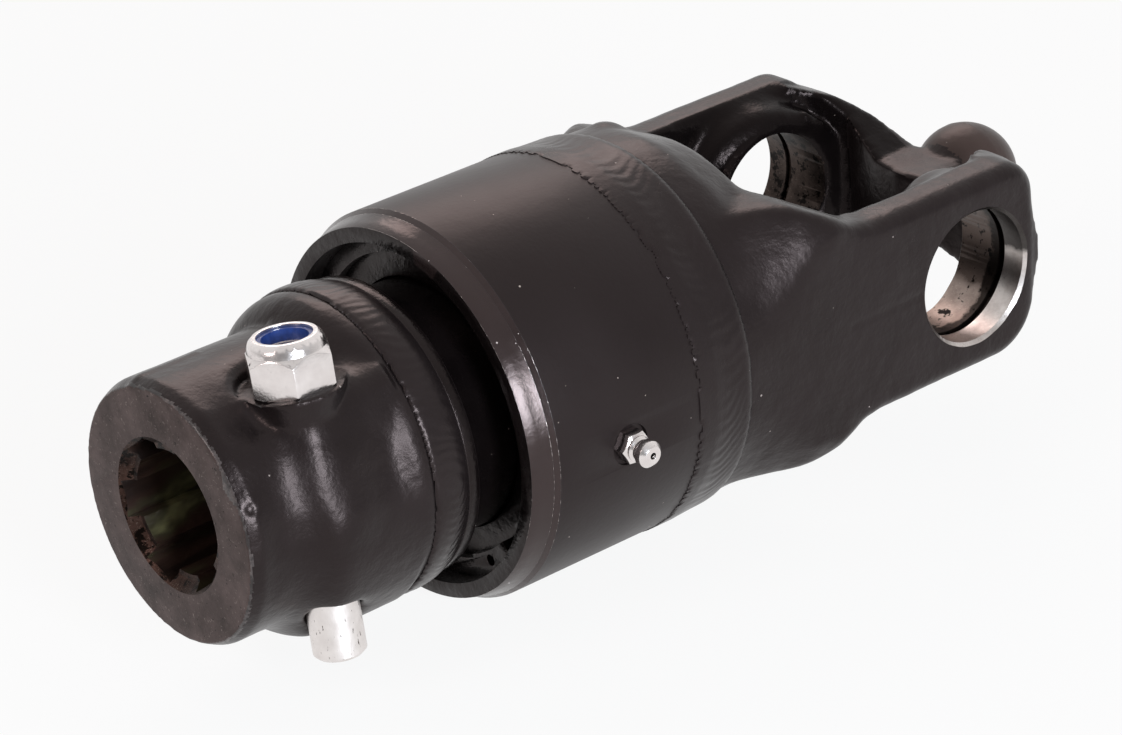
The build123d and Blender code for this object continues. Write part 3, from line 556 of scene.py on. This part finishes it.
def buildYoke(look):
    piece = copyOfNode("joint_yoke", "forgedYoke")
    # fill the bores so that the soft skin runs over them, then cut them crisp
    for side in (-1, 1):
        plug = newCylinder(look["plugRadius"], (0, side * look["plugFrom"], 0),
                           (0, side * (look["earOuter"] - look["plugInset"]), 0), look["plugSides"])
        joinTo(piece, plug)
    remeshSoft(piece, look)
    print("yoke remeshed", len(piece.data.polygons))

    def roundedAt(point):
        # the flare where the ears grow out of the shoulder, and the hollow round each inner boss
        across = 1.0 if abs(point.z) < look["flareZ"] else look["rimShare"]
        flare = min(across, band(point.x, look["flare"], look["flareFades"]))
        if point.x >= look["bossToX"]:
            return flare
        reach = math.hypot(point.x, point.z)
        inner = (look["bossToY"] - abs(point.y)) / look["bossFadeY"]
        return max(flare, min(inner, band(reach, look["boss"], look["bossFades"])))

    softenWhere(piece, roundedAt, look["roundPasses"])
    ball = Vector((look["ballX"], 0, 0))

    def height(point):
        # the ball stays round, and so does the spigot, where the skin fades in
        if (point - ball).length < look["ballReach"] and point.x > look["ballFrom"]:
            seam = look["seamHeight"] * hump(point.x - look["partingX"], look["seamWidth"])
            return look["ballSkin"] * forgedSkin(point, look) + seam
        line = 0.0
        if abs(point.y) > look["lineFromY"] and look["lineX"][0] < point.x < look["lineX"][1]:
            line = look["lineHeight"] * hump(point.z - look["lineZ"], look["lineWidth"])
        return line + fadeIn(point.x, look["skinFrom"], look["skinFade"]) * forgedSkin(point, look)

    pushOut(piece, height)
    print("yoke forged")
    cut(piece, newCylinder(look["boreRadius"], (0, -look["cutReach"], 0), (0, look["cutReach"], 0),
                           look["boreSides"]))
    for side in (-1, 1):
        grooveStart, grooveEnd = [(0, side * y, 0) for y in look["groove"]]
        cut(piece, newCylinder(look["grooveRadius"], grooveStart, grooveEnd, look["boreSides"]))
        cut(piece, newCone((look["boreRadius"], look["mouthRadius"] + look["mouthFlare"]),
                           2 * look["mouthDepth"], (0, side * look["earOuter"], 0),
                           (-math.pi / 2 * side, 0, 0), look["boreSides"]))

    def finishAt(centre, face):
        reach = math.hypot(centre.x, centre.z)
        out = abs(centre.y)
        inBore = (reach < look["grooveRadius"] + look["boreSlack"]
                  and out < look["earOuter"] - look["mouthDepth"] - look["endSlack"])
        toAxis = abs(face.normal.x * centre.x + face.normal.z * centre.z) / max(reach, look["endSlack"])
        if inBore and (toAxis > look["facesAxis"] or out > look["groove"][0] - look["boreSlack"]):
            if centre.y > 0:
                return mistAndShadeSteel  # far bore: darker steel for paint mist and painted shade
            return mouthSteel if out > look["groove"][1] else boreSteel
        bevelled = look["bevelFacing"][0] < abs(face.normal.y) < look["bevelFacing"][1]
        if not inBore and reach < look["mouthRadius"] + look["bevelSlack"] and bevelled:
            return mouthSteel
        if centre.x > look["ballPaintFrom"] and (centre - ball).length < look["ballReach"]:
            return ballPaint
        # the inside of the far ear takes the darker, duller paint as painted shade
        inFork = centre.y > look["shadeFromY"] and look["shadeX"][0] < centre.x < look["shadeX"][1]
        ragged = look["shadeRagged"] * noise.noise(centre / look["shadeMm"])
        inShade = inFork and face.normal.y + ragged < look["shadeNormal"]
        return paintedShadeInFork if inShade else forgedPaint

    giveMaterials(piece, forgedPaint, boreSteel, mouthSteel, mistAndShadeSteel, ballPaint, paintedShadeInFork)
    paintFaces(piece, finishAt)
    smoothShade(piece, degrees=40)
    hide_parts("joint_yoke")
    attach(piece, "housing")
    return piece


yoke = buildYoke(yokeLook)
print("yoke:", len(yoke.data.polygons), "faces")

hubLook = {
    "front": -204.7, "back": -152.7, "turn": -7.1, "voxel": 0.62, "soften": 5, "roundPasses": 120,
    # height and width of the waves and of the grain, which fade in behind the front face
    "wave": (0.14, 11.0), "skin": (0.03, 4.0), "skinFrom": 1.0, "skinFade": 4,
    # where the forging is softened: ends along the shaft, the fades inside them, how far back across it
    "round": (-201, -162), "roundFades": (3, 3), "roundToY": 8,
    # round seat that stands out under the nut, and the flat that stays crisp on it
    "boltX": -180.4, "boltOffset": 21.2, "seatPad": (10.0, 26.5), "seatPadRadii": (7.0, 11.6),
    "seatPadSides": 64, "seatRadius": 13, "seatShift": 3, "seatFrom": 23.5,
    # splined bore, with the plug that fills it at first and a cone for its bevelled mouth
    "plugRadius": 20.0, "plugInset": 0.02, "plugSides": 96, "minorRadius": 14.8, "majorRadius": 17.5,
    "keyWidth": 8.7, "grooves": 6, "boreSides": 180, "cutBeyond": 2,
    "mouthRadius": 18.4, "mouthFlare": 0.2, "mouthDepth": 1.4, "mouthStep": 1.4, "mouthSides": 120,
    # the saw takes this much off the front, and is a block this wide
    "sawDepth": 0.05, "sawBlock": 100,
    # how deep the bare face, the thin paint on its edge and the bare mouth reach, and how faces face there
    "faceDepth": 0.15, "faceFacing": -0.9, "edgeDepth": 0.7, "edgeFrom": 25, "edgeFacing": -0.4,
    "landDepth": 3, "boreSlack": 0.1,
    # soft lumps and hollows of the forging: place, reach and height in mm, and where they end in reaches
    "lumps": [((-203, -27, 17), 4.5, -0.5), ((-195, -30, 12), 4.5, -0.7), ((-196, -32, 3), 5, -0.7),
              ((-198, -31, -6), 5, -0.5), ((-179.5, -31, 14), 6, 0.9), ((-179.5, -35.5, 3), 6.5, 1.2),
              ((-169, -34.5, 8), 6, -0.6), ((-193, -20, 27), 4.5, -1.3), ((-201.5, -14, 29), 3, 0.5),
              ((-202.4, -29.4, 11.3), 1.3, -0.7)],
    "lumpEnds": 2.5,
    # low ridge where the two halves of the die met
    "ridgeAngle": 72.0, "ridgeRadius": 31, "ridgeWidth": 1.6, "ridgeHeight": 0.35, "ridgeToX": -186,
}


def splineCutter(look):
    # bore with its grooves, as one solid that runs out at both ends
    front, back = look["front"] - look["cutBeyond"], look["back"] + look["cutBeyond"]
    cutter = newCylinder(look["minorRadius"], (front, 0, 0), (back, 0, 0), look["boreSides"])
    for index in range(look["grooves"]):
        bar = newBlock((back - front, look["majorRadius"], look["keyWidth"]),
                       ((front + back) / 2, look["majorRadius"] / 2, 0))
        turn = math.radians(look["turn"] + index * 360 / look["grooves"])
        bar.data.transform(Matrix.Rotation(turn, 4, "X"))
        cut(cutter, bar, "UNION")
    return cutter


def buildHub(look):
    piece = copyOfNode("splined_hub", "forgedHub")
    plug = newCylinder(look["plugRadius"], (look["front"] + look["plugInset"], 0, 0),
                       (look["back"] - look["plugInset"], 0, 0), look["plugSides"])
    foot, top = look["seatPad"]
    pad = newCone(look["seatPadRadii"], top - foot, (look["boltX"], -look["boltOffset"], (foot + top) / 2),
                  (0, 0, 0), look["seatPadSides"])
    pad.data.transform(Matrix.Rotation(math.radians(look["turn"]), 4, "X"))
    joinTo(piece, plug, pad)
    remeshSoft(piece, look)
    print("hub remeshed", len(piece.data.polygons))

    def roundedAt(point):
        # the thick side round the bolt, but not the nose, the collar or the flat under the nut
        off = math.hypot(point.x - look["boltX"], point.y + look["boltOffset"] - look["seatShift"])
        flat = off < look["seatRadius"] and point.z > look["seatFrom"]
        return 0 if flat or point.y > look["roundToY"] else band(point.x, look["round"], look["roundFades"])

    softenWhere(piece, roundedAt, look["roundPasses"])
    lumps = [(Vector(place), reach, rise) for place, reach, rise in look["lumps"]]

    def height(point):
        total = fadeIn(point.x - look["front"], look["skinFrom"], look["skinFade"]) * forgedSkin(point, look)
        if point.x < look["ridgeToX"]:
            off = math.radians(shaftAngle(point) - look["ridgeAngle"]) * look["ridgeRadius"]
            total += look["ridgeHeight"] * hump(off, look["ridgeWidth"])
        for place, reach, rise in lumps:
            far = (point - place).length
            if far < look["lumpEnds"] * reach:
                total += rise * hump(far, reach)
        return total

    pushOut(piece, height)
    print("hub forged")
    # the front face is sawn flat again
    sawPlace = look["front"] + look["sawDepth"] - look["sawBlock"] / 2
    cut(piece, newBlock([look["sawBlock"]] * 3, (sawPlace, 0, 0)))
    cut(piece, splineCutter(look))
    cut(piece, newCone((look["mouthRadius"] + look["mouthFlare"], look["majorRadius"] - look["mouthStep"]),
                       2 * look["mouthDepth"],
                       (look["front"] + look["mouthDepth"] - look["mouthFlare"], 0, 0),
                       (0, math.pi / 2, 0), look["mouthSides"]))

    def finishAt(centre, face):
        reach = math.hypot(centre.y, centre.z)
        if centre.x < look["front"] + look["faceDepth"] and face.normal.x < look["faceFacing"]:
            return faceSteel
        atEdge = centre.x < look["front"] + look["edgeDepth"] and reach > look["edgeFrom"]
        if atEdge and face.normal.x < look["edgeFacing"]:
            return noseEdge
        if reach < look["mouthRadius"] + look["boreSlack"]:
            inMouth = centre.x < look["front"] + look["mouthDepth"] + look["landDepth"]
            return landSteel if inMouth else greasedBore
        return forgedPaint

    giveMaterials(piece, forgedPaint, faceSteel, greasedBore, landSteel, noseEdge)
    paintFaces(piece, finishAt)
    smoothShade(piece, degrees=40)
    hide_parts("splined_hub")
    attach(piece, "hub")
    return piece


hub = buildHub(hubLook)
print("hub:", len(hub.data.polygons), "faces")


def weldBead(nodeName, pieceName, body, look):
    # bead with the crescent ripples that the weld pool leaves, kept under the true crown
    piece = copyOfNode(nodeName, pieceName)
    remeshSoft(piece, look)

    def height(point):
        radius = math.hypot(point.y, point.z)
        if radius < look["skinFrom"]:
            return 0.0
        off = (point.x - look["middle"]) / look["half"]
        stray = look["stray"] * noise.noise(point / look["strayMm"])
        along = math.radians(shaftAngle(point)) * radius + look["bow"] * off * off + stray
        fade = max(0.0, 1 - off * off)
        ripple = look["ripple"] * (math.sin(along * 2 * math.pi / look["pitch"]) - 1) * fade
        swell = look["wave"] * (noise.noise(point / look["waveMm"]) - look["waveSink"]) * fade
        # the toes are pushed out again, so that they lie over both neighbours
        return ripple + swell + look["toeLift"] * off * off

    pushOut(piece, height)
    for vertex in piece.data.vertices:
        radius = math.hypot(vertex.co.y, vertex.co.z)
        off = (vertex.co.x * inMm - look["middle"]) / look["half"]
        if radius > look["skinFrom"] * mm and abs(off) > look["toeFrom"]:
            # the toes run on into the neighbours, so that no gap shows beside them
            past = (abs(off) - look["toeFrom"]) / (1 - look["toeFrom"])
            vertex.co.x += math.copysign(look["spread"] * past * mm, off)
        if radius > look["crown"] * mm:
            vertex.co.yz *= look["crown"] * mm / radius
    giveMaterials(piece, beadPaint)
    smoothShade(piece, degrees=50)
    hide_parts(nodeName)
    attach(piece, body)


# bow and stray bend the ripples; skinFrom, crown and half bound the part of the bead that shows
hubBeadLook = {
    "voxel": 0.5, "soften": 3, "middle": -153.7, "half": 5.8, "skinFrom": 34.0, "crown": 37.3,
    "pitch": 2.7, "bow": 5.0, "stray": 2.5, "strayMm": 8, "ripple": 0.05,
    "wave": 0.35, "waveMm": 15.0, "waveSink": 0.6, "toeLift": 0.75, "toeFrom": 0.8, "spread": 0.3}
yokeBeadLook = {
    "voxel": 0.6, "soften": 4, "middle": -82.2, "half": 8.5, "skinFrom": 44.0, "crown": 47.225,
    "pitch": 3.4, "bow": 9.0, "stray": 2.5, "strayMm": 8, "ripple": 0.05,
    "wave": 0.3, "waveMm": 17.0, "waveSink": 0.6, "toeLift": 1.1, "toeFrom": 0.8, "spread": 1.0}
weldBead("hub_weld", "rippledHubBead", "hub", hubBeadLook)
weldBead("yoke_weld", "rippledYokeBead", "housing", yokeBeadLook)
print("weld beads laid")


def crispPiece(nodeName, pieceName, body, slot, look, *materials):
    # turned or milled piece with its sharp edges broken; the broken edges take the last material
    piece = copyOfNode(nodeName, pieceName)
    bpy.ops.object.mode_set(mode="EDIT")
    bpy.ops.mesh.select_all(action="SELECT")
    bpy.ops.mesh.dissolve_limited(angle_limit=math.radians(0.5))
    bpy.ops.object.mode_set(mode="OBJECT")
    giveMaterials(piece, *materials)
    applyModifier(piece, "BEVEL", width=look["edge"] * mm, segments=2, limit_method="ANGLE",
                  angle_limit=math.radians(look["from"]), material=len(materials) - 1)
    smoothShade(piece, degrees=35)
    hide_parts(nodeName)
    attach(piece, body)
    return piece


# edge widths in mm, and the corner in degrees from which an edge counts as sharp
housingLook = {
    "edge": 0.3, "from": 18, "coneBack": -131.8, "mouthRadius": 41.6,
    # flaked part of the mouth's lip, and the rubbed edge by the weld: where along and round the shaft
    "lipTo": -135.5, "lipAngles": (-178, -125), "rubbedFrom": -95, "rubbedAngles": (150, 178)}
carrierLook = {"edge": 0.3, "from": 30}
ringLook = {"edge": 0.25, "from": 40}
nutLook = {"edge": 0.3, "from": 25}
nippleLook = {"edge": 0.18, "from": 30}


def housingFinish(centre, face):
    look, angle = housingLook, shaftAngle(centre)
    present = housing.data.materials[face.material_index]
    if math.hypot(centre.y, centre.z) < look["mouthRadius"]:
        flaked = centre.x < look["lipTo"] and look["lipAngles"][0] < angle < look["lipAngles"][1]
        return wornSteelLip if flaked else darkPaint
    if centre.x < look["coneBack"] and present != wornEdge:
        return glossPaint
    if centre.x > look["coneBack"] + 1:
        # the weld's edge shows bare steel streaks only on the upper near side, between the rubbed angles
        rubbed = centre.x > look["rubbedFrom"] and look["rubbedAngles"][0] < angle < look["rubbedAngles"][1]
        return wornEdge if rubbed and present == wornEdge else turnedPaint
    return present


housing = crispPiece("clutch_housing", "turnedHousing", "housing", "housing_paint", housingLook,
                     turnedPaint, glossPaint, darkPaint, wornSteelLip, wornEdge)
paintFaces(housing, housingFinish)
crispPiece("pawl_carrier", "turnedCarrier", "hub", "turned_steel", carrierLook, darkPaint, beadPaint)
crispPiece("retaining_ring", "stampedRing", "housing", "ring_steel", ringLook, darkPaint, glossPaint)
crispPiece("cover_washer", "stampedWasher", "housing", "ring_steel", ringLook, darkPaint, darkPaint)
crispPiece("lock_nut", "forgedNut", "hub", "zinc_plate", nutLook, nutZinc, nutZinc)
crispPiece("grease_nipple", "turnedNipple", "housing", "zinc_plate", nippleLook, nutZinc, nutZinc)
print("crisp pieces finished")


def coiledSpring(nodeName, pieceName, body, joint, look):
    # coil copied from the CAD spring as it stands, in ground steel; it does not shorten with its joint, and
    # joint and look, with its axis from the fixed end to the moving one, are not used
    piece = copyOfNode(nodeName, pieceName)
    giveMaterials(piece, groundSteel)
    smoothShade(piece, degrees=40)
    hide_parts(nodeName)
    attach(piece, body)
    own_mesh(piece)


springLooks = [
    ("pawl_spring_1", "coiledSpringTop", "hub", "pawl_top_slide", {"axis": (0, 0, 1), "travel": 4.8}),
    ("pawl_spring_2", "coiledSpringNear", "hub", "pawl_near_slide", {"axis": (0, -1, 0), "travel": 4.8}),
    ("pawl_spring_3", "coiledSpringBottom", "hub", "pawl_bottom_slide", {"axis": (0, 0, -1), "travel": 4.8}),
    ("pawl_spring_4", "coiledSpringFar", "hub", "pawl_far_slide", {"axis": (0, 1, 0), "travel": 4.8}),
    ("nipple_spring", "coiledSpringNipple", "housing", "check_ball_slide",
     {"axis": (0, -1, 0), "travel": 1.0}),
]
for spring in springLooks:
    coiledSpring(*spring)
print("springs coiled")

# what isn't named here is ground steel
nodeFinishes = {
    "hub_weld": beadPaint, "yoke_weld": beadPaint, "joint_yoke": forgedPaint, "splined_hub": forgedPaint,
    "clutch_housing": turnedPaint, "pawl_carrier": darkPaint, "retaining_ring": darkPaint,
    "cover_washer": darkPaint, "clamp_bolt": pinZinc, "lock_nut": nutZinc, "grease_nipple": nutZinc,
    "nut_insert": blueNylon, "shaft_seal": sealRubber, "front_bush": bearingBronze,
    "rear_bush": bearingBronze, "thrust_washer": bearingBronze,
}
for name, node in nodes.items():
    material = nodeFinishes.get(name, groundSteel)
    if not node.data.materials:
        node.data.materials.append(material)
    for index in range(len(node.data.materials)):
        node.data.materials[index] = material
print("CAD nodes painted")

stageLook = {
    "floorZ": -47.2, "floorSize": 8, "floorColour": "#fcfcfc", "paperShare": 0.92, "worldStrength": 0.4,
    # way to the white side of the room, how bright the dim side is, and where one fades to the other
    "whiteSide": (0.5, 0.62, 0.6), "dimSide": 0.3, "roomFade": (-0.5, 0.7),
    "lamps": [
        # name, where it stands (m), what it looks at (m), size (m), power (W), colour
        ("backSoftbox", (0.8, 1.25, 1.25), (-0.05, 0, 0), (1.2, 0.9), 11, "#ffe7e1"),
        ("frontSoftbox", (-0.42, -1.7, 0.42), (-0.1, 0, 0), (0.5, 0.8), 44, "#e9f4ff"),
        ("leftSoftbox", (-1.7, 0.1, 0.9), (-0.15, 0, 0), (0.5, 0.7), 8, "#fff1ee"),
    ],
}


def anyRay(tree, *kinds):
    # 1 for the kinds of ray named, such as Camera, and 0 for all others
    path = addNode(tree, "ShaderNodeLightPath")
    rays = [path.outputs["Is " + kind + " Ray"] for kind in kinds]
    seen = rays[0]
    for ray in rays[1:]:
        seen = addNode(tree, "ShaderNodeMath", {"operation": "MAXIMUM"}, {0: seen, 1: ray}).outputs[0]
    return seen


def buildFloor(look):
    deselectAll()
    bpy.ops.mesh.primitive_plane_add(size=look["floorSize"], location=(0, 0, look["floorZ"] * mm))
    floor = bpy.context.object
    floor.name = "floor"
    bakePlace(floor)
    paper = bpy.data.materials.new("white_paper_floor")
    paper.use_nodes = True
    tree = paper.node_tree
    tree.nodes.clear()
    # the camera and reflections see mostly plain white paper, so the shadow stays faint
    matt = addNode(tree, "ShaderNodeBsdfDiffuse", {"Color": hexColour(look["floorColour"])})
    plain = addNode(tree, "ShaderNodeEmission", {"Color": hexColour(look["floorColour"])})
    share = addNode(tree, "ShaderNodeMath", {"operation": "MULTIPLY", 1: look["paperShare"]},
                    {0: anyRay(tree, "Camera", "Glossy", "Transmission")})
    sheet = addNode(tree, "ShaderNodeMixShader", links={0: share.outputs[0], 1: matt.outputs["BSDF"],
                                                        2: plain.outputs["Emission"]})
    addNode(tree, "ShaderNodeOutputMaterial", links={"Surface": sheet.outputs["Shader"]})
    giveMaterials(floor, paper)


def buildRoom(look):
    world = bpy.data.worlds.new("studio")
    bpy.context.scene.world = world
    world.use_nodes = True
    tree = world.node_tree
    tree.nodes.clear()
    # reflections see a room that is white behind and above the table and dims towards the front
    way = addNode(tree, "ShaderNodeTexCoord").outputs["Generated"]
    behind = addNode(tree, "ShaderNodeVectorMath", {"operation": "DOT_PRODUCT", 1: look["whiteSide"]},
                     {0: way})
    room = addNode(tree, "ShaderNodeMapRange", {
        "From Min": look["roomFade"][0], "From Max": look["roomFade"][1], "To Min": look["dimSide"],
        "To Max": 1.0}, {"Value": behind.outputs["Value"]})
    # the camera and clear pieces see plain white
    white = addNode(tree, "ShaderNodeMath", {"operation": "MAXIMUM"},
                    {0: room.outputs["Result"], 1: anyRay(tree, "Camera", "Transmission")})
    level = addNode(tree, "ShaderNodeMapRange", {"To Min": look["worldStrength"]},
                    {"Value": anyRay(tree, "Camera", "Glossy", "Transmission"), "To Max": white.outputs[0]})
    sky = addNode(tree, "ShaderNodeBackground", {"Color": (1, 1, 1, 1)},
                  {"Strength": level.outputs["Result"]})
    addNode(tree, "ShaderNodeOutputWorld", links={"Surface": sky.outputs["Background"]})


def hangLamps(look):
    for name, place, target, size, power, colour in look["lamps"]:
        lamp = bpy.data.lights.new(name, "AREA")
        lamp.shape = "RECTANGLE"
        lamp.size, lamp.size_y = size
        lamp.energy = power
        lamp.color = hexColour(colour)[:3]
        stand = bpy.data.objects.new(name, lamp)
        bpy.context.scene.collection.objects.link(stand)
        stand.location = place
        stand.rotation_euler = (Vector(target) - Vector(place)).to_track_quat("-Z", "Y").to_euler()


buildFloor(stageLook)
buildRoom(stageLook)
hangLamps(stageLook)
bpy.context.scene.view_settings.view_transform = "Standard"

cameraLook = {
    "place": (-0.65617, -0.70192, 0.43447), "lens": 137.82, "sensor": 36.0, "seesTo": 20,
    "right": (0.7582, -0.6489, -0.063), "down": (-0.3289, -0.2972, -0.8964),
    "ahead": (0.563, 0.7004, -0.4387),
}
camera = bpy.data.objects.new("photoCamera", bpy.data.cameras.new("photoCamera"))
bpy.context.scene.collection.objects.link(camera)
camera.data.sensor_width = cameraLook["sensor"]
camera.data.lens = cameraLook["lens"]
camera.data.clip_end = cameraLook["seesTo"]
# a camera looks along its own -Z, with +Y up
turn = Matrix((cameraLook["right"], [-v for v in cameraLook["down"]],
               [-v for v in cameraLook["ahead"]])).transposed()
camera.rotation_euler = turn.to_euler()
camera.location = cameraLook["place"]
bpy.context.scene.camera = camera
print("stage and camera set")

bpy.context.view_layer.update()
